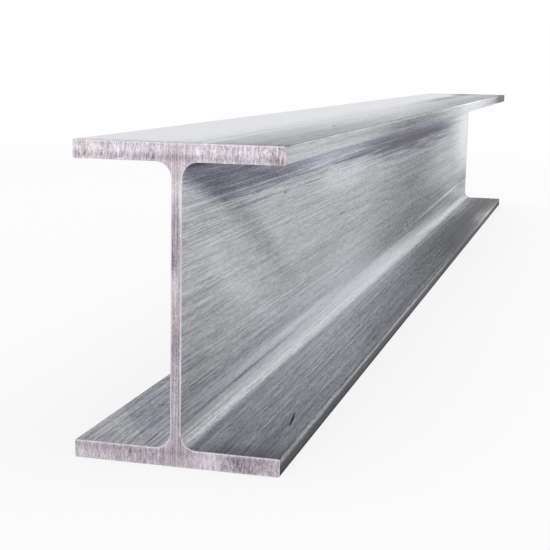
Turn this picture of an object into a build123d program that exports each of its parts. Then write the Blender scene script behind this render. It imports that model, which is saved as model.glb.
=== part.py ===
"""H-beam: one length of extruded aluminium, a parallel-flange section cut square by a saw.

The section is the 6 in x 4 in standard aluminium I-beam, in millimetres. The beam stands on its
lower flange with its length along Y, and the origin is under its middle, at floor level.
"""

import os

from build123d import *

# Section, overall and by wall
section_height = 152.4
flange_width = 101.6
flange_thickness = 8.89
web_thickness = 5.334

# Section corners: the concave roots between web and flanges, and the flanges' outer corners
root_radius = 7.62
toe_radius = 0.8

# Cut length, and the deburred edge round each sawn end
beam_length = 1219.2
end_chamfer = 0.4

web_height = section_height - 2 * flange_thickness
lower_flange_middle = flange_thickness / 2
upper_flange_middle = section_height - flange_thickness / 2
half_web = web_thickness / 2

with BuildPart() as h_beam:
    with BuildSketch(Plane.XZ) as section:
        with Locations((0, lower_flange_middle), (0, upper_flange_middle)):
            Rectangle(flange_width, flange_thickness)
        with Locations((0, section_height / 2)):
            Rectangle(web_thickness, web_height)

        roots = section.vertices().filter_by_position(Axis.X, -half_web, half_web)
        fillet(roots, root_radius)

    extrude(amount=beam_length / 2, both=True)

    # The saw's edge is broken all round both ends
    by_length = h_beam.faces().filter_by(Axis.Y).sort_by(Axis.Y)
    sawn_ends = by_length[0].edges() + by_length[-1].edges()
    chamfer(sawn_ends, end_chamfer)

    # The flanges' eight outer corners run the whole length, across the broken edges too
    long_edges = h_beam.edges().filter_by(Axis.Y).group_by(Axis.X)
    toes = long_edges[0] + long_edges[-1]
    fillet(toes, toe_radius)

h_beam.part.label = "h_beam"

os.makedirs("parts", exist_ok=True)
export_step(h_beam.part, "parts/h_beam.step")
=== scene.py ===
import math

import bpy
import numpy as np
from mathutils import Matrix, Vector


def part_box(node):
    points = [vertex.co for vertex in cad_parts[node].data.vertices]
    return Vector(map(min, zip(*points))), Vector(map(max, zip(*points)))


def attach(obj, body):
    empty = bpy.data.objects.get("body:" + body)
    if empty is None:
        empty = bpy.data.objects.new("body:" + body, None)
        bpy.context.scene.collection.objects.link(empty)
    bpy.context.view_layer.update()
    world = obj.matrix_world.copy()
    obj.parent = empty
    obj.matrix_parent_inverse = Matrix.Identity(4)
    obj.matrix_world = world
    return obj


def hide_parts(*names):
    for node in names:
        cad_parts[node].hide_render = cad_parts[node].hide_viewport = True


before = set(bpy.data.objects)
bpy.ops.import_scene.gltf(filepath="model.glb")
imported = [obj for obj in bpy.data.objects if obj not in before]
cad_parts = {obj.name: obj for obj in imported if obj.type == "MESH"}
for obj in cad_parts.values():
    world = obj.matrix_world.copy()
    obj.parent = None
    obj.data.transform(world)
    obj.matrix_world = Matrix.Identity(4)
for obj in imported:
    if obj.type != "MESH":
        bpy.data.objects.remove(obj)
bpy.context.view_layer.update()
beamLow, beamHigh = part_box("h_beam")
mm = 0.001
perMm = 1.0 / mm

# The beam's section and finish in millimetres. Its height, width and length come from the frame.
beamShape = {
    "flangeThickness": 8.89,
    "webThickness": 5.334,
    "rootRadius": 7.62,
    "toeRadius": 0.8,
    "rimRadius": 0.45,       # edge broken by a file after the saw
    "rimUneven": 0.35,       # how much that edge wanders, as a share of it
    "rimWander": 2.5,        # over what length it wanders
    "rimDownGlint": (-0.5, 0.3),  # painted highlight on the filed edge: weaker on edges that face down past this slope, by this share
    "flatPitch": 0.5,        # spacing of mesh columns across a flange
    "webPitch": 0.75,        # spacing of mesh rows up the web
    "flangeRows": 9,
    "toeSteps": 4,
    "rootSteps": 12,
    "webSteps": 4,
    "rimSteps": 3,
    "stations": 64,          # mesh rings along the beam
    "dieLineDepth": 0.035,   # the deepest of the die's long grooves
    "dieLines": ((1.6, 0.35), (4.0, 0.35), (11.0, 0.3)),   # width of each kind of groove, share of the depth
    "dieLineLength": 260.0,
    "sawDepth": 0.06,        # the deepest of the saw's strokes
    "sawStrokes": ((0.9, 6.0, 0.6), (3.5, 30.0, 0.4)),     # width, length and share of the depth of a stroke
    "sharpAngle": 40.0,      # degrees past which an edge shows as an edge
    "seed": 7,
}

# Where the flat map of the beam's faces lies: the sides as two long strips, the sawn ends beside them
beamMap = {
    "stripLeft": 0.01,
    "stripRight": 0.70,
    "stripBottoms": (0.01, 0.51),
    "stripHeight": 0.48,
    "endLeft": 0.725,
    "endBottoms": (0.03, 0.53),
    "endWidth": 0.26,
}


# Random samples on a grid of whole numbers, joined both ways by a cosine so that no step shows
def smoothNoise(rng, u, v):
    u, v = np.broadcast_arrays(u, v)
    firstU, firstV = np.floor(u).astype(int), np.floor(v).astype(int)
    blendU = 0.5 - 0.5 * np.cos(np.pi * (u - firstU))
    blendV = 0.5 - 0.5 * np.cos(np.pi * (v - firstV))
    firstU, firstV = firstU - firstU.min(), firstV - firstV.min()
    samples = rng.uniform(-1.0, 1.0, (firstU.max() + 2, firstV.max() + 2))
    near = samples[firstU, firstV] * (1.0 - blendU) + samples[firstU + 1, firstV] * blendU
    far = samples[firstU, firstV + 1] * (1.0 - blendU) + samples[firstU + 1, firstV + 1] * blendU
    return near * (1.0 - blendV) + far * blendV


# Half of a flange, from the web's middle to the toe, as columns: where each stands, its top and its bottom.
# The root and the toe are quarter circles about fixed centres, so an inset section only changes their radii.
def flangeColumns(inset):
    s = beamShape
    halfWidth = (beamHigh.x - beamLow.x) / 2 / mm
    halfWeb = s["webThickness"] / 2
    rootX = halfWeb + s["rootRadius"]
    rootZ = s["flangeThickness"] + s["rootRadius"]
    toeX = halfWidth - s["toeRadius"]
    root = s["rootRadius"] + inset
    toe = s["toeRadius"] - inset
    flatSteps = round((toeX - rootX) / s["flatPitch"])

    webX = np.linspace(0.0, halfWeb - inset, s["webSteps"])
    rootTurn = np.linspace(0.0, np.pi / 2, s["rootSteps"])[1:]
    flatX = np.linspace(rootX, toeX, flatSteps)[1:]
    toeTurn = np.linspace(0.0, np.pi / 2, s["toeSteps"])[1:]

    x = np.concatenate([webX, rootX - root * np.cos(rootTurn), flatX, toeX + toe * np.sin(toeTurn)])
    top = np.concatenate([
        np.full(webX.size, rootZ),
        rootZ - root * np.sin(rootTurn),
        np.full(flatX.size, s["flangeThickness"] - inset),
        s["flangeThickness"] - s["toeRadius"] + toe * np.cos(toeTurn),
    ])
    bottom = np.concatenate([
        np.full(webX.size + rootTurn.size + flatX.size, inset),
        s["toeRadius"] - toe * np.cos(toeTurn),
    ])
    mirrored = slice(None, 0, -1)
    return (np.concatenate([-x[mirrored], x]),
            np.concatenate([top[mirrored], top]),
            np.concatenate([bottom[mirrored], bottom]))


# The beam's section as points: each flange a grid of columns by rows, the web a grid between the roots
def sectionPoints(inset):
    s = beamShape
    height = (beamHigh.z - beamLow.z) / mm
    x, top, bottom = flangeColumns(inset)
    rows = np.linspace(0.0, 1.0, s["flangeRows"])
    lowerZ = bottom[:, None] + (top - bottom)[:, None] * rows
    flangeX = np.repeat(x[:, None], rows.size, axis=1)

    webLow = s["flangeThickness"] + s["rootRadius"]
    webRows = round((height - 2 * webLow) / s["webPitch"])
    webZ = np.linspace(webLow, height - webLow, webRows)[1:-1]
    middle = x.size // 2
    webX = x[middle - s["webSteps"] + 1:middle + s["webSteps"]]
    webGrid = np.meshgrid(webX, webZ, indexing="ij")
    return np.concatenate([
        np.stack([flangeX.ravel(), lowerZ.ravel()], axis=1),
        np.stack([flangeX.ravel(), height - lowerZ.ravel()], axis=1),
        np.stack([webGrid[0].ravel(), webGrid[1].ravel()], axis=1),
    ]), (x.size, rows.size, webX.size, webZ.size)


# What a grid holds at the four corners of every cell, taken the way round that is asked for
def gridQuads(grid, turned=False):
    quads = np.stack([grid[:-1, :-1], grid[1:, :-1], grid[1:, 1:], grid[:-1, 1:]], axis=2)
    quads = quads.reshape(-1, *quads.shape[2:])
    return quads[:, ::-1] if turned else quads


# Which points make the section's cells, and which ones its outline, counter-clockwise seen from the near end
def sectionCells(counts):
    columns, rows, webColumns, webRows = counts
    lower = np.arange(columns * rows).reshape(columns, rows)
    upper = lower + columns * rows
    web = np.arange(webColumns * webRows).reshape(webColumns, webRows) + 2 * columns * rows
    left = (columns - webColumns) // 2
    right = left + webColumns - 1
    webAll = np.concatenate([lower[left:right + 1, -1:], web, upper[left:right + 1, -1:]], axis=1)
    quads = np.concatenate([gridQuads(lower), gridQuads(upper, turned=True), gridQuads(webAll)])
    outline = np.concatenate([
        lower[:, 0], lower[-1, 1:], lower[right:-1, -1][::-1], web[-1],
        upper[right:, -1], upper[-1, :-1][::-1], upper[:-1, 0][::-1], upper[0, 1:],
        upper[1:left + 1, -1], web[0][::-1], lower[1:left + 1, -1][::-1], lower[0, 1:][::-1],
    ])
    return quads, outline


# Points of a section set at their places along the beam
def placedAlong(points, y):
    return np.stack([points[..., 0], np.broadcast_to(y, points.shape[:-1]), points[..., 1]], axis=-1)


# A closed ring of values gets its first one again at its end
def closedRing(rings):
    return np.concatenate([rings, rings[:, :1]], axis=1)


# The whole beam: the section's outline carried along Y with the die's grooves pressed in, its edge rounded
# at both ends, and each end closed by the section's own cells with the saw's strokes in them
def beamMesh():
    s = beamShape
    m = beamMap
    rng = np.random.default_rng(s["seed"])
    full, counts = sectionPoints(0.0)
    inner, _ = sectionPoints(s["rimRadius"])
    quads, outline = sectionCells(counts)
    halfLength = (beamHigh.y - beamLow.y) / 2 / mm
    rim = s["rimSteps"]

    loop = full[outline]
    steps = np.linalg.norm(np.roll(loop, -1, axis=0) - loop, axis=1)
    around = np.concatenate([[0.0], np.cumsum(steps)])
    outward = (loop - inner[outline]) / s["rimRadius"]

    # Grooves of several widths, always inwards, that come and go slowly along the length
    y = np.linspace(-halfLength + s["rimRadius"], halfLength - s["rimRadius"], s["stations"])
    depth = np.zeros((s["stations"], loop.shape[0]))
    for width, share in s["dieLines"]:
        grooves = smoothNoise(rng, around[None, :-1] / width, y[:, None] / s["dieLineLength"])
        depth += share * (0.5 + 0.5 * grooves)
    body = loop[None] - (s["dieLineDepth"] * depth)[..., None] * outward[None]

    # The rounded edge: inset and depth follow a quarter circle, and the file has left it a little uneven
    turn = np.linspace(0.0, np.pi / 2, rim + 1)
    uneven = 1.0 + s["rimUneven"] * smoothNoise(rng, around[:-1] / s["rimWander"], 0.0)
    inset = s["rimRadius"] * (1.0 - np.sin(turn))[:, None] * uneven[None]
    rimPoints = loop[None] - inset[..., None] * outward[None]
    rimY = halfLength - s["rimRadius"] * (1.0 - np.cos(turn))

    # The saw's strokes: upright grooves across each end, broken up the height
    section = full.copy()
    section[outline] = rimPoints[0]
    relief = np.zeros((2, full.shape[0]))
    for end in relief:
        for width, length, share in s["sawStrokes"]:
            end += share * (0.5 + 0.5 * smoothNoise(rng, full[:, 0] / width, full[:, 1] / length))
    relief *= s["sawDepth"]

    sides = np.concatenate([
        placedAlong(rimPoints[1:rim], -rimY[1:rim, None]),
        placedAlong(body, y[:, None]),
        placedAlong(rimPoints[1:rim][::-1], rimY[1:rim][::-1, None]),
    ])
    verts = np.concatenate([
        placedAlong(section, -halfLength + relief[0]),
        placedAlong(section, halfLength - relief[1]),
        sides.reshape(-1, 3),
    ])
    nSection, nLoop = full.shape[0], loop.shape[0]
    rings = np.arange(sides.shape[0] * nLoop).reshape(sides.shape[0], nLoop) + 2 * nSection
    rings = closedRing(np.concatenate([outline[None], rings, outline[None] + nSection]))

    # The flat map: each end as it is seen, with its rounded edge unrolled around it, and the sides unrolled
    unrolled = rimPoints[:1] + (s["rimRadius"] * turn)[:, None, None] * outward[None]
    mapScale = m["endWidth"] / (full[:, 0].max() - full[:, 0].min())
    endMaps = []
    for sign, bottom in zip((1.0, -1.0), m["endBottoms"]):
        centre = np.array([m["endLeft"] + m["endWidth"] / 2, bottom])
        flip = np.array([sign, 1.0]) * mapScale
        endMaps.append((section * flip + centre, closedRing(unrolled) * flip + centre))
    seam = np.searchsorted(around, around[-1] / 2)
    stripScale = (m["stripRight"] - m["stripLeft"]) / max(around[seam], around[-1] - around[seam])
    along = np.linspace(0.0, m["stripHeight"], s["stations"])
    strips = []
    for columns, bottom in zip((around[:seam + 1], around[seam:] - around[seam]), m["stripBottoms"]):
        strips.append(np.stack(np.meshgrid(m["stripLeft"] + columns * stripScale, bottom + along), axis=-1))

    blocks = (
        (rings[:rim + 1], endMaps[0][1]),
        (rings[-rim - 1:], endMaps[1][1][::-1]),
        (rings[rim:-rim, :seam + 1], strips[0]),
        (rings[rim:-rim, seam:], strips[1]),
    )
    faces = np.concatenate([quads, quads[:, ::-1] + nSection]
                           + [gridQuads(numbers.T, turned=True) for numbers, _ in blocks])
    mapped = np.concatenate([endMaps[0][0][quads], endMaps[1][0][quads[:, ::-1]]]
                            + [gridQuads(flat.swapaxes(0, 1), turned=True) for _, flat in blocks])

    # Which faces the saw and the file made, and the painted highlight on each point of the filed edge, weaker
    # where it faces down
    sawn = np.arange(len(faces)) < 2 * len(quads) + 2 * rim * nLoop
    edge = np.zeros(len(verts))
    slope, downGlintShare = s["rimDownGlint"]
    glintShare = closedRing(np.where(outward[None, :, 1] < slope, downGlintShare, 1.0))
    edge[rings[:rim + 1]] = glintShare
    edge[rings[-rim - 1:]] = glintShare
    return verts * mm + np.array([0.0, 0.0, beamLow.z]), faces, mapped, sawn, edge


# Points and four-cornered faces made a piece at the origin
def addPiece(name, verts, faces):
    mesh = bpy.data.meshes.new(name)
    mesh.vertices.add(len(verts))
    mesh.vertices.foreach_set("co", verts.astype(np.float32).ravel())
    mesh.loops.add(faces.size)
    mesh.loops.foreach_set("vertex_index", faces.astype(np.int32).ravel())
    mesh.polygons.add(len(faces))
    mesh.polygons.foreach_set("loop_start", np.arange(0, faces.size, 4, dtype=np.int32))
    mesh.update(calc_edges=True)
    mesh.validate()
    piece = bpy.data.objects.new(name, mesh)
    bpy.context.scene.collection.objects.link(piece)
    return piece


# sRGB hex to the linear colour that Blender's sockets take
def linear(hexColour):
    channels = np.array([int(hexColour[i:i + 2], 16) for i in (1, 3, 5)]) / 255.0
    light = np.where(channels <= 0.04045, channels / 12.92, ((channels + 0.055) / 1.055) ** 2.4)
    return (*light.tolist(), 1.0)


# Adds a node with its settings and inputs. An input is named, with _ for a space, or numbered as i0, i1.
# A tuple of a node and an output's name makes a link, and anything else is a value.
def addNode(tree, kind, settings=None, **inputs):
    node = tree.nodes.new(kind)
    for key, value in (settings or {}).items():
        setattr(node, key, value)
    for key, value in inputs.items():
        numbered = key[0] == "i" and key[1:].isdigit()
        socket = node.inputs[int(key[1:]) if numbered else key.replace("_", " ")]
        if isinstance(value, tuple) and isinstance(value[0], bpy.types.Node):
            tree.links.new(value[0].outputs[value[1]], socket)
        else:
            socket.default_value = value
    return node


# Settings that many nodes share
smoothFade = {"interpolation_type": "SMOOTHSTEP"}
multiply = {"operation": "MULTIPLY"}
multiplyAdd = {"operation": "MULTIPLY_ADD"}
colourMix = {"data_type": "RGBA"}
colourTint = {"data_type": "RGBA", "blend_type": "MULTIPLY"}


# An empty material of this name, and its node tree
def newMaterial(name):
    material = bpy.data.materials.new(name)
    material.use_nodes = True
    material.node_tree.nodes.clear()
    return material, material.node_tree


# Noise drawn out to strokes of a real width and length, where the length runs along Y or Z
def strokeNoise(tree, place, lengthAxis, width, length, detail):
    size = (width, length, width) if lengthAxis == "Y" else (width, width, length)
    mapped = addNode(tree, "ShaderNodeMapping", Vector=(place, "Object"), Scale=[perMm / v for v in size])
    return addNode(tree, "ShaderNodeTexNoise", Vector=(mapped, "Vector"), Scale=1.0, Detail=detail)


# Running sums of such noises, each about zero and times its share. A share goes from one value to another
# between two places on a coordinate.
def strokeSums(tree, place, lengthAxis, kinds, coordinate, between):
    sums, noises = [], []
    for width, length, detail, firstShare, secondShare in kinds:
        noise = strokeNoise(tree, place, lengthAxis, width, length, detail)
        centred = addNode(tree, "ShaderNodeMath", {"operation": "SUBTRACT"}, i0=(noise, "Fac"), i1=0.5)
        share = addNode(tree, "ShaderNodeMapRange", Value=coordinate, From_Min=between[0] * mm,
                        From_Max=between[1] * mm, To_Min=firstShare, To_Max=secondShare)
        sums.append(addNode(tree, "ShaderNodeMath", multiplyAdd, i0=(centred, "Value"),
                            i1=(share, "Result"), i2=(sums[-1], "Value") if sums else 0.0))
        noises.append(noise)
    return sums, noises


# A soft spot: 1 at its middle, falling to 0 at its three radii, turned by these degrees
def softSpot(tree, place, middle, radii, turn):
    mapped = addNode(tree, "ShaderNodeMapping", {"vector_type": "TEXTURE"}, Vector=(place, "Object"),
                     Location=[v * mm for v in middle], Scale=[v * mm for v in radii],
                     Rotation=[math.radians(v) for v in turn])
    return addNode(tree, "ShaderNodeTexGradient", {"gradient_type": "SPHERICAL"}, Vector=(mapped, "Vector"))


# A share times smooth fades, each from 0 to 1 between two places on a coordinate
def fadedBy(tree, share, *fades):
    for coordinate, start, full in fades:
        fade = addNode(tree, "ShaderNodeMapRange", smoothFade, Value=coordinate,
                       From_Min=start * mm, From_Max=full * mm)
        share = addNode(tree, "ShaderNodeMath", multiply, i0=(share, "Value"), i1=(fade, "Result"))
    return share


# Mill-finish extruded aluminium: cool grey metal with an oxide skin, drawn through a die, so that its marks
# are broken hairlines and bands along the length. Painted shade lies under the upper flange, as its shadow,
# and low on the lower toes; painted highlights lie along the lower root and on the upper face.
# Places and sizes are in mm. A tone of 0 is the dark colour and 1 the pale one.
millLook = {
    "pale": "#f9fbff",
    "dark": "#303338",
    "tone": 0.472,
    "softFloor": 0.4,                # how softly the darkest tones level out
    "roughness": (0.46, 0.22),       # of the darkest skin, and of the palest
    "anisotropy": 0.5,
    "grazing": "#e6e6e8",            # rough skin shines less at a grazing angle than a polish would
    "bump": (0.15, 0.4),             # strength, and height in mm
    "streaks": (
        # width, length, detail, share of the tone at the near end, and from the middle on
        (0.35, 5.0, 1.0, 0.47, 0.50),     # grain, drawn coarser than the real one so that it shows
        (0.4, 32.0, 2.0, 0.60, 0.20),     # hairlines, coarser too
        (0.9, 14.0, 1.0, 0.10, 0.46),     # short dashes
        (0.9, 130.0, 2.0, 0.36, 0.50),    # longer lines
        (1.8, 320.0, 1.0, 0.20, 0.26),
        (6.0, 700.0, 1.0, 0.12, 0.12),    # broad bands
        (26.0, 170.0, 3.0, 0.12, 0.08),   # cloudy patches
    ),
    "shortKinds": 3,                 # the first kinds, which are too short to break the dull band's edge
    "streakFade": (-600.0, 100.0),   # places along the beam for those two shares
    "dieAndShadeBands": (
        # axis, middle, half width, change of tone
        ("Z", 119.3, 1.6, -0.06),    # two lines high on the web
        ("Z", 122.4, 1.2, 0.05),
        ("X", 9.0, 1.6, -0.05),      # two lines beside the roots
        ("X", 11.8, 1.5, 0.15),
        ("X", 30.0, 0.6, 0.12),      # two lines on the flanges
        ("X", 42.0, 0.6, 0.06),
        ("X", 50.4, 1.2, -0.20),     # and painted shade on the flanges' edges
    ),
    "lowGain": (60.0, 9.0, 1.65),    # heights between which the streaks grow stronger, and by how much
    # Painted highlight along the lower root, pale and matt: a soft spot's middle, radii and change of tone,
    # and the shares that it hides of the metal and of the streaks
    "rootHighlight": ((4.0, -60.0, 15.0), (14.0, 820.0, 14.0), 0.52, 0.90, 0.50),
    "patches": (
        # middle, radii, turn about X in degrees, change of tone
        # The web, from the near end to the far one
        ((3.0, -620.0, 52.0), (10.0, 120.0, 62.0), 0.0, -0.14),     # dull beside the cut
        ((3.0, -476.0, 92.0), (10.0, 150.0, 15.0), -23.9, -0.14),   # a painted shadow on a slant from the upper flange, and painted light below it
        ((3.0, -515.0, 71.0), (10.0, 120.0, 17.0), -23.9, 0.08),
        ((3.0, -280.0, 124.0), (10.0, 190.0, 16.0), 0.0, 0.20),     # less painted shade where the shade band's edge rises
        ((3.0, -250.0, 106.0), (10.0, 130.0, 14.0), 0.0, 0.18),
        ((3.0, -280.0, 131.0), (10.0, 270.0, 8.0), 0.0, 0.44),      # a pale line along the upper root
        ((3.0, 150.0, 131.0), (10.0, 420.0, 8.0), 0.0, 0.32),
        ((3.0, 190.0, 119.0), (10.0, 420.0, 6.0), 0.0, -0.26),      # and the painted shade band's darkest line
        ((3.0, -230.0, 40.0), (10.0, 280.0, 26.0), 0.0, 0.14),      # cleaner low on the web
        ((3.0, 110.0, 72.0), (12.0, 320.0, 88.0), 0.0, -0.30),      # duller from the middle on
        ((3.0, 330.0, 45.0), (12.0, 300.0, 22.0), 0.0, -0.20),      # most of all low down
        ((3.0, 570.0, 40.0), (12.0, 110.0, 20.0), 0.0, -0.22),
        ((3.0, 620.0, 105.0), (12.0, 230.0, 84.0), 0.0, 0.64),      # a painted highlight at the far end
        # Lines along the lower root
        ((3.0, -430.0, 25.2), (4.0, 270.0, 4.6), 0.0, 0.44),        # a painted highlight line, and a painted shade line under it
        ((3.0, -510.0, 20.4), (4.0, 200.0, 1.7), 0.0, -0.38),
        ((3.0, -190.0, 24.0), (10.0, 400.0, 13.0), 0.0, 0.10),      # a painted highlight as a hem above the root's
        ((3.0, 310.0, 32.6), (6.0, 290.0, 2.0), 0.8, 0.70),         # a line left by the die, and its start
        ((3.0, 62.0, 31.0), (3.0, 9.0, 2.4), 0.0, 0.65),
        ((4.0, 500.0, 11.0), (9.0, 330.0, 9.0), 0.0, -0.10),        # the painted root highlight thins out
        # The lower flange
        ((-36.0, -600.0, 9.0), (40.0, 62.0, 6.0), 0.0, 0.10),       # painted light at the near left corner, outside the web's painted shadow
        ((28.0, -560.0, 9.0), (40.0, 240.0, 6.0), 0.0, 0.07),       # paler at the near right one
        ((12.0, -260.0, 9.0), (14.0, 440.0, 6.0), 0.0, 0.12),       # painted highlight beside the root
        ((34.0, 320.0, 9.0), (35.0, 480.0, 8.0), 0.0, -0.76),       # painted shade in the far half, standing for a dark reflection
        ((32.0, 620.0, 9.0), (46.0, 190.0, 8.0), 0.0, -0.40),
        ((47.0, 70.0, 9.0), (14.0, 290.0, 4.0), 0.0, -0.26),
        ((44.0, 385.0, 9.0), (12.0, 120.0, 4.0), 0.0, 0.34),        # with a bright spot in it
        ((48.0, 610.0, 9.0), (9.0, 110.0, 4.0), 0.0, -0.24),
        ((51.2, -100.0, 9.3), (1.9, 900.0, 1.8), 0.0, -0.75),       # painted shade on the toes' upper edges
        ((-51.2, -100.0, 9.3), (1.9, 900.0, 1.8), 0.0, -0.75),
        ((51.0, 400.0, 6.5), (4.0, 200.0, 9.0), 0.0, 0.44),         # less painted shade on the far part of the right toe
        # The upper flange
        ((30.0, -220.0, 153.0), (36.0, 420.0, 5.0), 0.0, 0.19),     # painted sheen on the right as well
        ((3.0, 320.0, 152.0), (17.0, 340.0, 5.0), 0.0, -0.52),      # a dark smear that widens to the far end
        ((-3.0, 570.0, 152.0), (27.0, 125.0, 5.0), 0.0, -0.90),
        ((51.0, -520.0, 147.0), (6.0, 240.0, 8.0), 0.0, 0.28),      # the right toe: paler, then darker, then a painted highlight, then dark
        ((51.0, -220.0, 148.0), (6.0, 180.0, 14.0), 0.0, -0.22),
        ((51.0, 200.0, 148.0), (6.0, 330.0, 14.0), 0.0, 0.62),
        ((51.0, 600.0, 148.0), (8.0, 170.0, 14.0), 0.0, -0.95),
    ),
    # The upper face's painted sheen, a painted reflection brighter from the left: x where that starts and is
    # full, and the change of tone at each
    "topSheen": (48.0, -32.0, -0.11, 0.76),
    "topSheenDepth": 0.3,                        # how far below the top that reaches
    # The painted shade band under the upper flange: the flange's shadow on the web, and on its underside
    "shadeBand": {
        "heights": (101.0, 115.0),             # where it starts and is full
        "top": 143.8,                          # it takes in the flange's underside
        "change": -0.30,                       # of tone
        "tint": "#e0e0f6",
        "fray": 60.0,                          # how far the streaks break its lower edge
        "rise": (60.0, -240.0, 11.5),          # that edge rises between these places, by this much
        "corner": (-588.0, 130.0, 3.2),        # y, z and slope of the line that cuts off its near corner
        "cornerFade": 36.0,
        "ends": (460.0, 260.0),                # it is gone at this place along the beam, and full at this one
        "farShade": "#eaebfa",                     # a bluer tint on the painted shade
        "farShadeFade": (-240.0, 60.0),            # which comes up between these places
    },
    # A painted shadow on the left of the lower flange, cast by the web
    "leftShadow": {
        "slant": (-632.4, 1.667),              # it starts on a slant, where y = place - slope * x
        "fade": 3.0,
        "ends": (-140.0, -320.0),              # it is gone at this place along the beam, and full at this one
        "heights": (14.0, 6.0),                # it takes in what is this near to this height
        "tint": 0.45,                          # share of the shade band's tint
        "change": -0.06,                       # of tone
    },
    "highlightRoughness": 0.75,                    # where the painted root highlight hides the metal
    # Painted shade low on the lower toes, and grime in the nicks: colour, roughness and metal
    "toeShadeAndNicks": "#1c1d20",
    "toeShadeAndNickRoughness": 0.85,
    "toeShadeAndNickMetal": 0.1,
    "toeShadeDepth": (1.0, 0.5),                  # how far in from the toes' faces it starts and is full
    "toeShadeLayers": (
        # height where it starts, height where it is full, share
        (7.6, 5.0, 0.83),
        (3.2, 0.8, 0.17),
    ),
    "nickFade": 0.4,                           # the outer part of a nick, over which it fades
    "nicks": (
        # middle, radii, turn about Z in degrees, strength
        ((40.6, -544.8, 8.9), (0.8, 15.5, 1.0), 7.6, 0.97),    # on the lower flange
        ((2.7, -418.7, 112.2), (1.0, 4.0, 1.1), 0.0, 0.46),    # on the web
        ((2.7, -245.8, 80.5), (1.0, 14.0, 0.9), 0.0, 0.37),
        ((2.7, -78.7, 113.7), (1.0, 7.0, 1.0), 0.0, 0.5),
        ((30.2, -414.2, 152.4), (1.1, 10.0, 1.0), 6.1, 0.5),   # on the upper face
    ),
}


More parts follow.
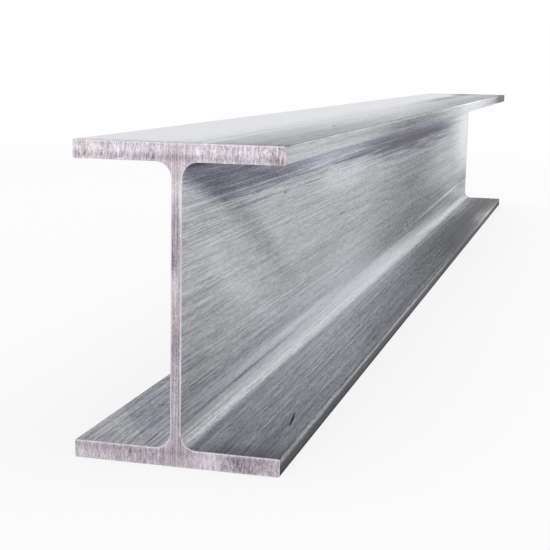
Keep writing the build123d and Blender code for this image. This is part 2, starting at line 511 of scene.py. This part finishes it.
# The tone is a sum: streaks times a gain, soft patches, many of them painted highlights and shade, the die's
# bands, the painted sheen on the upper face and the painted shade. It mixes the dark colour with the pale
# one, and the shade's tints, the painted toe shade and the nicks' grime go over that.
def millAluminium():
    look = millLook
    material, tree = newMaterial("mill_finish_extruded_aluminium")
    place = addNode(tree, "ShaderNodeTexCoord")
    axes = addNode(tree, "ShaderNodeSeparateXYZ", Vector=(place, "Object"))
    side = addNode(tree, "ShaderNodeMath", {"operation": "ABSOLUTE"}, i0=(axes, "X"))
    along, height = (axes, "Y"), (axes, "Z")

    # Streaks: all of them, and the longer ones alone
    sums, noises = strokeSums(tree, place, "Y", look["streaks"], along, look["streakFade"])
    streaks, shortOnes = sums[-1], sums[look["shortKinds"] - 1]
    hairlines = noises[1]
    longLines = addNode(tree, "ShaderNodeMath", {"operation": "SUBTRACT"},
                        i0=(streaks, "Value"), i1=(shortOnes, "Value"))

    # Soft patches: their change of tone at the middle, nothing at the radii. The first is the painted root
    # highlight.
    rootHighlightMiddle, rootHighlightRadii, rootHighlightChange, hidesMetal, hidesStreaks = look["rootHighlight"]
    patches = []
    for middle, radii, turn, change in ((rootHighlightMiddle, rootHighlightRadii, 0.0, rootHighlightChange), *look["patches"]):
        spot = softSpot(tree, place, middle, radii, (turn, 0.0, 0.0))
        patches.append(addNode(tree, "ShaderNodeMapRange", smoothFade, Value=(spot, "Fac"), To_Max=change))
    rootHighlight = patches[0]

    # The streaks, stronger low down and calmed by the painted root highlight, about the plain tone, and the
    # patches on it
    start, full, most = look["lowGain"]
    gain = addNode(tree, "ShaderNodeMapRange", Value=height, From_Min=start * mm, From_Max=full * mm,
                   To_Min=1.0, To_Max=most)
    calm = addNode(tree, "ShaderNodeMapRange", Value=(rootHighlight, "Result"), From_Max=rootHighlightChange,
                   To_Min=1.0, To_Max=1.0 - hidesStreaks)
    gain = addNode(tree, "ShaderNodeMath", multiply, i0=(gain, "Result"), i1=(calm, "Result"))
    tone = addNode(tree, "ShaderNodeMath", multiplyAdd,
                   i0=(streaks, "Value"), i1=(gain, "Value"), i2=look["tone"])
    for patch in patches:
        tone = addNode(tree, "ShaderNodeMath", i0=(tone, "Value"), i1=(patch, "Result"))

    # Bands along the whole length, most left by the die and the last one painted shade on the flanges' edges:
    # strongest on a line, gone at its half width
    for axis, middle, halfWidth, change in look["dieAndShadeBands"]:
        coordinate = (side, "Value") if axis == "X" else height
        off = addNode(tree, "ShaderNodeMath", {"operation": "SUBTRACT"}, i0=coordinate, i1=middle * mm)
        off = addNode(tree, "ShaderNodeMath", {"operation": "ABSOLUTE"}, i0=(off, "Value"))
        band = addNode(tree, "ShaderNodeMapRange", smoothFade, Value=(off, "Value"),
                       From_Min=0.0, From_Max=halfWidth * mm, To_Min=change, To_Max=0.0)
        tone = addNode(tree, "ShaderNodeMath", i0=(tone, "Value"), i1=(band, "Result"))

    # The upper face's painted sheen, brighter from the left
    start, full, least, most = look["topSheen"]
    onTop = addNode(tree, "ShaderNodeMath", {"operation": "GREATER_THAN"},
                    i0=height, i1=beamHigh.z - look["topSheenDepth"] * mm)
    topSheen = addNode(tree, "ShaderNodeMapRange", smoothFade, Value=(axes, "X"),
                     From_Min=start * mm, From_Max=full * mm, To_Min=least, To_Max=most)
    tone = addNode(tree, "ShaderNodeMath", multiplyAdd,
                   i0=(topSheen, "Result"), i1=(onTop, "Value"), i2=(tone, "Value"))

    # The painted shade band, the upper flange's shadow: height less the streaks and a rise, so that it has a
    # broken edge, cut off on a slant
    band = look["shadeBand"]
    riseStart, riseFull, rise = band["rise"]
    frayed = addNode(tree, "ShaderNodeMath", multiplyAdd,
                     i0=(longLines, "Value"), i1=-band["fray"] * mm, i2=height)
    risen = addNode(tree, "ShaderNodeMapRange", smoothFade, Value=along,
                    From_Min=riseStart * mm, From_Max=riseFull * mm, To_Max=rise * mm)
    frayed = addNode(tree, "ShaderNodeMath", {"operation": "SUBTRACT"},
                     i0=(frayed, "Value"), i1=(risen, "Result"))
    cornerY, cornerZ, slope = band["corner"]
    slanted = addNode(tree, "ShaderNodeMath", multiplyAdd, i0=height, i1=slope, i2=along)
    corner, halfFade = cornerY + slope * cornerZ, band["cornerFade"] / 2
    paintedShade = addNode(tree, "ShaderNodeMath", {"operation": "LESS_THAN"}, i0=height, i1=band["top"] * mm)
    paintedShade = fadedBy(tree, paintedShade, ((frayed, "Value"), *band["heights"]),
                   ((slanted, "Value"), corner - halfFade, corner + halfFade), (along, *band["ends"]))
    farShade = fadedBy(tree, paintedShade, (along, *band["farShadeFade"]))
    tone = addNode(tree, "ShaderNodeMath", multiplyAdd,
                   i0=(paintedShade, "Value"), i1=band["change"], i2=(tone, "Value"))
    tone = addNode(tree, "ShaderNodeMath", {"operation": "SMOOTH_MAX"},
                   i0=(tone, "Value"), i1=0.0, i2=look["softFloor"])

    # The painted shadow on the left of the lower flange: where the height and the side are right, by two
    # fades
    patch = look["leftShadow"]
    slantStart, slope = patch["slant"]
    halfFade = patch["fade"] / 2
    slanted = addNode(tree, "ShaderNodeMath", multiplyAdd, i0=(axes, "X"), i1=slope, i2=along)
    onFlange = addNode(tree, "ShaderNodeMath", {"operation": "COMPARE"},
                       i0=height, i1=patch["heights"][0] * mm, i2=patch["heights"][1] * mm)
    onLeft = addNode(tree, "ShaderNodeMath", {"operation": "LESS_THAN"}, i0=(axes, "X"), i1=0.0)
    left = addNode(tree, "ShaderNodeMath", multiply, i0=(onLeft, "Value"), i1=(onFlange, "Value"))
    left = fadedBy(tree, left, ((slanted, "Value"), slantStart - halfFade, slantStart + halfFade),
                   (along, *patch["ends"]))
    tone = addNode(tree, "ShaderNodeMath", multiplyAdd,
                   i0=(left, "Value"), i1=patch["change"], i2=(tone, "Value"))
    left = addNode(tree, "ShaderNodeMath", multiply, i0=(left, "Value"), i1=patch["tint"])
    paintedShade = addNode(tree, "ShaderNodeMath", {"operation": "MAXIMUM"}, i0=(paintedShade, "Value"), i1=(left, "Value"))

    skin = addNode(tree, "ShaderNodeMix", colourMix, i0=(tone, "Value"),
                   i6=linear(look["dark"]), i7=linear(look["pale"]))
    # Tints of the painted shade over the skin
    for share, tint in ((paintedShade, band["tint"]), (farShade, band["farShade"])):
        skin = addNode(tree, "ShaderNodeMix", colourTint, i0=(share, "Value"),
                       i6=(skin, "Result"), i7=linear(tint))

    # Painted shade in two layers low on the toes' outer faces, where they face the floor, and grime in a few
    # nicks
    start, full = look["toeShadeDepth"]
    onToe = addNode(tree, "ShaderNodeMapRange", Value=(side, "Value"),
                    From_Min=beamHigh.x - start * mm, From_Max=beamHigh.x - full * mm)
    layers = []
    for start, full, share in look["toeShadeLayers"]:
        layers.append(addNode(tree, "ShaderNodeMapRange", smoothFade, Value=height,
                              From_Min=full * mm, From_Max=start * mm, To_Min=share, To_Max=0.0))
    toeShadeAndNicks = addNode(tree, "ShaderNodeMath", i0=(layers[0], "Result"), i1=(layers[1], "Result"))
    toeShadeAndNicks = addNode(tree, "ShaderNodeMath", multiply, i0=(onToe, "Result"), i1=(toeShadeAndNicks, "Value"))
    for middle, radii, turn, strength in look["nicks"]:
        spot = softSpot(tree, place, middle, radii, (0.0, 0.0, turn))
        nick = addNode(tree, "ShaderNodeMapRange", Value=(spot, "Fac"),
                       From_Max=look["nickFade"], To_Max=strength)
        toeShadeAndNicks = addNode(tree, "ShaderNodeMath", {"operation": "MAXIMUM"},
                        i0=(toeShadeAndNicks, "Value"), i1=(nick, "Result"))
    colour = addNode(tree, "ShaderNodeMix", colourMix, i0=(toeShadeAndNicks, "Value"),
                     i6=(skin, "Result"), i7=linear(look["toeShadeAndNicks"]))
    bare = addNode(tree, "ShaderNodeMapRange", Value=(rootHighlight, "Result"), From_Max=rootHighlightChange,
                   To_Min=1.0, To_Max=1.0 - hidesMetal)
    metal = addNode(tree, "ShaderNodeMix", i0=(toeShadeAndNicks, "Value"), i2=(bare, "Result"), i3=look["toeShadeAndNickMetal"])

    # Paler skin is smoother, and the painted root highlight, the painted toe shade and the nicks are matt
    darkest, palest = look["roughness"]
    smooth = addNode(tree, "ShaderNodeMapRange", Value=(tone, "Value"), To_Min=darkest, To_Max=palest)
    highlightMatte = addNode(tree, "ShaderNodeMix", i0=(bare, "Result"),
                     i2=look["highlightRoughness"], i3=(smooth, "Result"))
    rough = addNode(tree, "ShaderNodeMix", i0=(toeShadeAndNicks, "Value"),
                    i2=(highlightMatte, "Result"), i3=look["toeShadeAndNickRoughness"])
    bumpStrength, bumpHeight = look["bump"]
    bump = addNode(tree, "ShaderNodeBump", Strength=bumpStrength, Distance=bumpHeight * mm,
                   Height=(hairlines, "Fac"))
    across = addNode(tree, "ShaderNodeTangent", {"direction_type": "UV_MAP", "uv_map": "OFBake"})
    shader = addNode(tree, "ShaderNodeBsdfPrincipled", Metallic=(metal, "Result"),
                     Base_Color=(colour, "Result"), Roughness=(rough, "Result"),
                     Anisotropic=look["anisotropy"], Tangent=(across, "Tangent"),
                     Specular_Tint=linear(look["grazing"]), Normal=(bump, "Normal"))
    addNode(tree, "ShaderNodeOutputMaterial", Surface=(shader, "BSDF"))
    return material


# Bandsawn aluminium: a fresh cut, brighter and warmer than the skin, torn into short upright strokes,
# with a painted highlight along its filed edge. Places and sizes are in mm.
sawnLook = {
    "pale": "#fdf7fc",
    "dark": "#6e5c6b",
    # The painted highlight on the filed edge: its colour and its share
    "edge": "#f6f2f5",
    "edgeShare": 0.5,
    "tone": 0.52,
    "topLift": (10.0, 150.0, -0.05, 0.13),   # two heights and the change of tone at each: painted light, the top brighter
    "roughness": 0.5,
    "bump": (0.35, 0.4),                     # strength, and height in mm
    "lowCalm": (10.0, 30.0, 0.72),           # heights where the strokes are calm and full, and how calm
    "webSide": (3.0, 11.0),                  # x between which the web's strokes turn to the flanges'
    "strokes": (
        # width, length, detail, share of the tone on the web, and on the flanges
        (0.45, 0.9, 1.0, 0.60, 0.95),    # torn specks, drawn coarser than the real ones so that they show
        (0.75, 3.6, 2.0, 0.30, 1.05),    # short strokes
        (0.70, 36.0, 2.0, 1.00, 0.30),   # strokes that run on over the web
        (2.4, 70.0, 1.0, 0.40, 0.35),
        (9.0, 14.0, 2.0, 0.40, 0.55),    # cloudy patches
    ),
    "warm": "#fffcfa",                       # the cut's colour drifts between these two
    "cool": "#fafaff",
    "drift": (11.0, 24.0, 2.0),              # width, length and detail of the drift's patches
    "driftRange": (0.35, 0.65),              # the noise that gives the first colour, and the second
    "patches": (
        # middle, radii, change of tone. First the lower flange, from left to right
        ((-40.0, -610.0, 2.2), (22.0, 30.0, 4.5), 0.14),       # clean
        ((-17.0, -610.0, 4.0), (20.0, 30.0, 10.0), -0.12),     # dull up to the root
        ((2.0, -610.0, 8.0), (11.0, 30.0, 16.0), -0.08),
        ((17.0, -610.0, 4.0), (12.0, 30.0, 9.0), 0.20),        # clean
        ((34.0, -610.0, 4.0), (15.0, 30.0, 9.0), -0.28),       # torn and dark
        # The web, upwards: dull for most of its height, darkest in one place
        ((0.0, -610.0, 42.0), (8.0, 30.0, 30.0), -0.15),
        ((0.0, -610.0, 74.0), (8.0, 30.0, 24.0), -0.18),
        ((0.0, -610.0, 110.0), (8.0, 30.0, 20.0), -0.34),
        ((-0.8, -610.0, 98.0), (4.0, 30.0, 9.0), -0.30),
        # The upper flange: dull over the web and at its right end
        ((0.0, -610.0, 148.0), (13.0, 30.0, 14.0), -0.24),
        ((44.0, -610.0, 147.0), (18.0, 30.0, 10.0), -0.16),
        # Level strips where one pass of the saw met the next
        ((0.0, -610.0, 6.8), (200.0, 30.0, 2.4), -0.09),
        ((0.0, -610.0, 145.5), (200.0, 30.0, 2.2), -0.16),
        ((0.0, -610.0, 148.8), (200.0, 30.0, 2.4), 0.12),
    ),
}


# The tone is a sum: a painted lift of light with height, strokes calmed low down, and soft patches
def sawnAluminium():
    look = sawnLook
    material, tree = newMaterial("bandsawn_aluminium")
    place = addNode(tree, "ShaderNodeTexCoord")
    axes = addNode(tree, "ShaderNodeSeparateXYZ", Vector=(place, "Object"))
    side = addNode(tree, "ShaderNodeMath", {"operation": "ABSOLUTE"}, i0=(axes, "X"))
    low, high, lowChange, highChange = look["topLift"]
    lift = addNode(tree, "ShaderNodeMapRange", Value=(axes, "Z"), From_Min=low * mm, From_Max=high * mm,
                   To_Min=look["tone"] + lowChange, To_Max=look["tone"] + highChange)
    sums, noises = strokeSums(tree, place, "Z", look["strokes"], (side, "Value"), look["webSide"])
    shortStrokes = noises[1]
    low, high, least = look["lowCalm"]
    calm = addNode(tree, "ShaderNodeMapRange", Value=(axes, "Z"), From_Min=low * mm, From_Max=high * mm,
                   To_Min=least, To_Max=1.0)
    tone = addNode(tree, "ShaderNodeMath", multiplyAdd,
                   i0=(sums[-1], "Value"), i1=(calm, "Result"), i2=(lift, "Result"))
    for middle, radii, change in look["patches"]:
        spot = softSpot(tree, place, middle, radii, (0.0, 0.0, 0.0))
        tone = addNode(tree, "ShaderNodeMath", multiplyAdd, i0=(spot, "Fac"), i1=change, i2=(tone, "Value"))

    # Its colour, with the warm and cool drift and the painted highlight on the filed edge over it
    cut = addNode(tree, "ShaderNodeMix", colourMix, i0=(tone, "Value"),
                  i6=linear(look["dark"]), i7=linear(look["pale"]))
    drift = strokeNoise(tree, place, "Z", *look["drift"])
    drift = addNode(tree, "ShaderNodeMapRange", Value=(drift, "Fac"),
                    From_Min=look["driftRange"][0], From_Max=look["driftRange"][1])
    hue = addNode(tree, "ShaderNodeMix", colourMix, i0=(drift, "Result"),
                  i6=linear(look["warm"]), i7=linear(look["cool"]))
    cut = addNode(tree, "ShaderNodeMix", colourTint, i0=1.0, i6=(cut, "Result"), i7=(hue, "Result"))
    edge = addNode(tree, "ShaderNodeAttribute", {"attribute_name": "paintedEdgeGlint"})
    glintShare = addNode(tree, "ShaderNodeMath", multiply, i0=(edge, "Fac"), i1=look["edgeShare"])
    colour = addNode(tree, "ShaderNodeMix", colourMix, i0=(glintShare, "Value"),
                     i6=(cut, "Result"), i7=linear(look["edge"]))
    bumpStrength, bumpHeight = look["bump"]
    bump = addNode(tree, "ShaderNodeBump", Strength=bumpStrength, Distance=bumpHeight * mm,
                   Height=(shortStrokes, "Fac"))
    shader = addNode(tree, "ShaderNodeBsdfPrincipled", Metallic=1.0, Base_Color=(colour, "Result"),
                     Roughness=look["roughness"], Normal=(bump, "Normal"))
    addNode(tree, "ShaderNodeOutputMaterial", Surface=(shader, "BSDF"))
    return material


beamVerts, beamFaces, flatMap, sawnFaces, paintedEdgeGlint = beamMesh()
beam = addPiece("dressed_beam", beamVerts, beamFaces)
beam.data.polygons.foreach_set("use_smooth", np.ones(len(beamFaces), dtype=bool))
beam.data.set_sharp_from_angle(angle=math.radians(beamShape["sharpAngle"]))
beam.data.uv_layers.new(name="OFBake").uv.foreach_set("vector", flatMap.astype(np.float32).ravel())
edgeValues = beam.data.attributes.new("paintedEdgeGlint", "FLOAT", "POINT")
edgeValues.data.foreach_set("value", paintedEdgeGlint.astype(np.float32))
beam.data.materials.append(millAluminium())
beam.data.materials.append(sawnAluminium())
beam.data.polygons.foreach_set("material_index", sawnFaces.astype(np.int32))
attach(beam, "root")
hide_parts("h_beam")
print("beam:", len(beamVerts), "points,", 2 * len(beamFaces), "triangles,",
      len(beam.data.materials), "finishes")

# Studio: white paper that runs out to a white horizon, a sky that is dimmer overhead, and soft lamps
studio = {
    "floorColour": "#f4f4f4",
    "floorSize": 60.0,
    "paperGlow": 0.8,            # share of the paper that is white by itself, which keeps the shadow soft
    "glowAll": (1.0, 2.4),       # distance in m from the beam where the paper starts to be all white, and is
    "skyHigh": 0.62,
    "skyFade": (0.14, 0.42),     # height of the sky, as a sine, where it starts to dim and is dim
    "lamps": {
        # name: (place, aim, width, height, how bright its face is beside white paper)
        "overheadPanel": ((0.4, 0.3, 2.6), (0.1, 0.0, 0.0), 3.2, 4.0, 0.88),
        "rootPanel": ((0.62, 3.0, 0.66), (0.0, 0.0, 0.05), 1.1, 0.8, 1.2),
        "frontPanel": ((-0.8, -3.0, 1.2), (0.0, -0.6, 0.1), 2.6, 1.8, 0.49),
    },
}

half = studio["floorSize"] / 2
floorVerts = np.array([[-half, -half, 0], [half, -half, 0], [half, half, 0], [-half, half, 0]], float)
floor = addPiece("studio_floor", floorVerts, np.array([[0, 1, 2, 3]]))
floorMaterial, floorTree = newMaterial("studio_paper")
floorPlace = addNode(floorTree, "ShaderNodeTexCoord")
away = addNode(floorTree, "ShaderNodeVectorMath", {"operation": "LENGTH"}, i0=(floorPlace, "Object"))
glow = addNode(floorTree, "ShaderNodeMapRange", smoothFade, Value=(away, "Value"),
               From_Min=studio["glowAll"][0], From_Max=studio["glowAll"][1],
               To_Min=studio["paperGlow"], To_Max=1.0)
path = addNode(floorTree, "ShaderNodeLightPath")
seen = addNode(floorTree, "ShaderNodeMath", {"operation": "MAXIMUM"},
               i0=(path, "Is Camera Ray"), i1=(path, "Is Glossy Ray"))
seen = addNode(floorTree, "ShaderNodeMath", {"operation": "MAXIMUM"},
               i0=(seen, "Value"), i1=(path, "Is Transmission Ray"))
share = addNode(floorTree, "ShaderNodeMath", multiply, i0=(glow, "Result"), i1=(seen, "Value"))
paper = addNode(floorTree, "ShaderNodeBsdfDiffuse", Color=linear(studio["floorColour"]))
white = addNode(floorTree, "ShaderNodeEmission", Color=(1, 1, 1, 1), Strength=1.0)
shown = addNode(floorTree, "ShaderNodeMixShader", Fac=(share, "Value"),
                i1=(paper, "BSDF"), i2=(white, "Emission"))
addNode(floorTree, "ShaderNodeOutputMaterial", Surface=(shown, "Shader"))
floor.data.materials.append(floorMaterial)

for name, (place, aim, width, height, brightness) in studio["lamps"].items():
    lamp = bpy.data.lights.new(name, "AREA")
    lamp.shape = "RECTANGLE"
    lamp.size, lamp.size_y = width, height
    lamp.energy = brightness * math.pi * width * height
    lampObject = bpy.data.objects.new(name, lamp)
    lampObject.location = place
    lampObject.rotation_euler = (Vector(aim) - Vector(place)).to_track_quat("-Z", "Y").to_euler()
    lampObject.visible_camera = False
    lampObject.visible_glossy = name != "overheadPanel"    # that one isn't mirrored in the metal
    bpy.context.scene.collection.objects.link(lampObject)

world = bpy.data.worlds.new("studio_world")
bpy.context.scene.world = world
world.use_nodes = True
world.node_tree.nodes.clear()
skyPlace = addNode(world.node_tree, "ShaderNodeTexCoord")
skyAxes = addNode(world.node_tree, "ShaderNodeSeparateXYZ", Vector=(skyPlace, "Generated"))
strength = addNode(world.node_tree, "ShaderNodeMapRange", smoothFade,
                   Value=(skyAxes, "Z"), From_Min=studio["skyFade"][0], From_Max=studio["skyFade"][1],
                   To_Min=1.0, To_Max=studio["skyHigh"])
sky = addNode(world.node_tree, "ShaderNodeBackground", Color=(1, 1, 1, 1), Strength=(strength, "Result"))
addNode(world.node_tree, "ShaderNodeOutputWorld", Surface=(sky, "Background"))
print("studio:", len(studio["lamps"]), "lamps")

# Camera, solved from the photo's corners with the beam at its real size
view = {
    "place": (0.1854, -1.1400, 0.1877),
    "yaw": -14.631,
    "pitch": -9.632,
    "roll": 1.080,
    "lens": 81.12,               # focal length in mm
    "sensor": 36.0,
}
lens = bpy.data.cameras.new("camera")
lens.lens = view["lens"]
lens.sensor_width = view["sensor"]
camera = bpy.data.objects.new("camera", lens)
camera.matrix_world = (Matrix.Translation(view["place"])
                       @ Matrix.Rotation(math.radians(-view["yaw"]), 4, "Z")
                       @ Matrix.Rotation(math.radians(90.0 + view["pitch"]), 4, "X")
                       @ Matrix.Rotation(math.radians(view["roll"]), 4, "Z"))
bpy.context.scene.collection.objects.link(camera)
bpy.context.scene.camera = camera
bpy.context.scene.view_settings.view_transform = "Standard"
print("camera: at", view["place"])
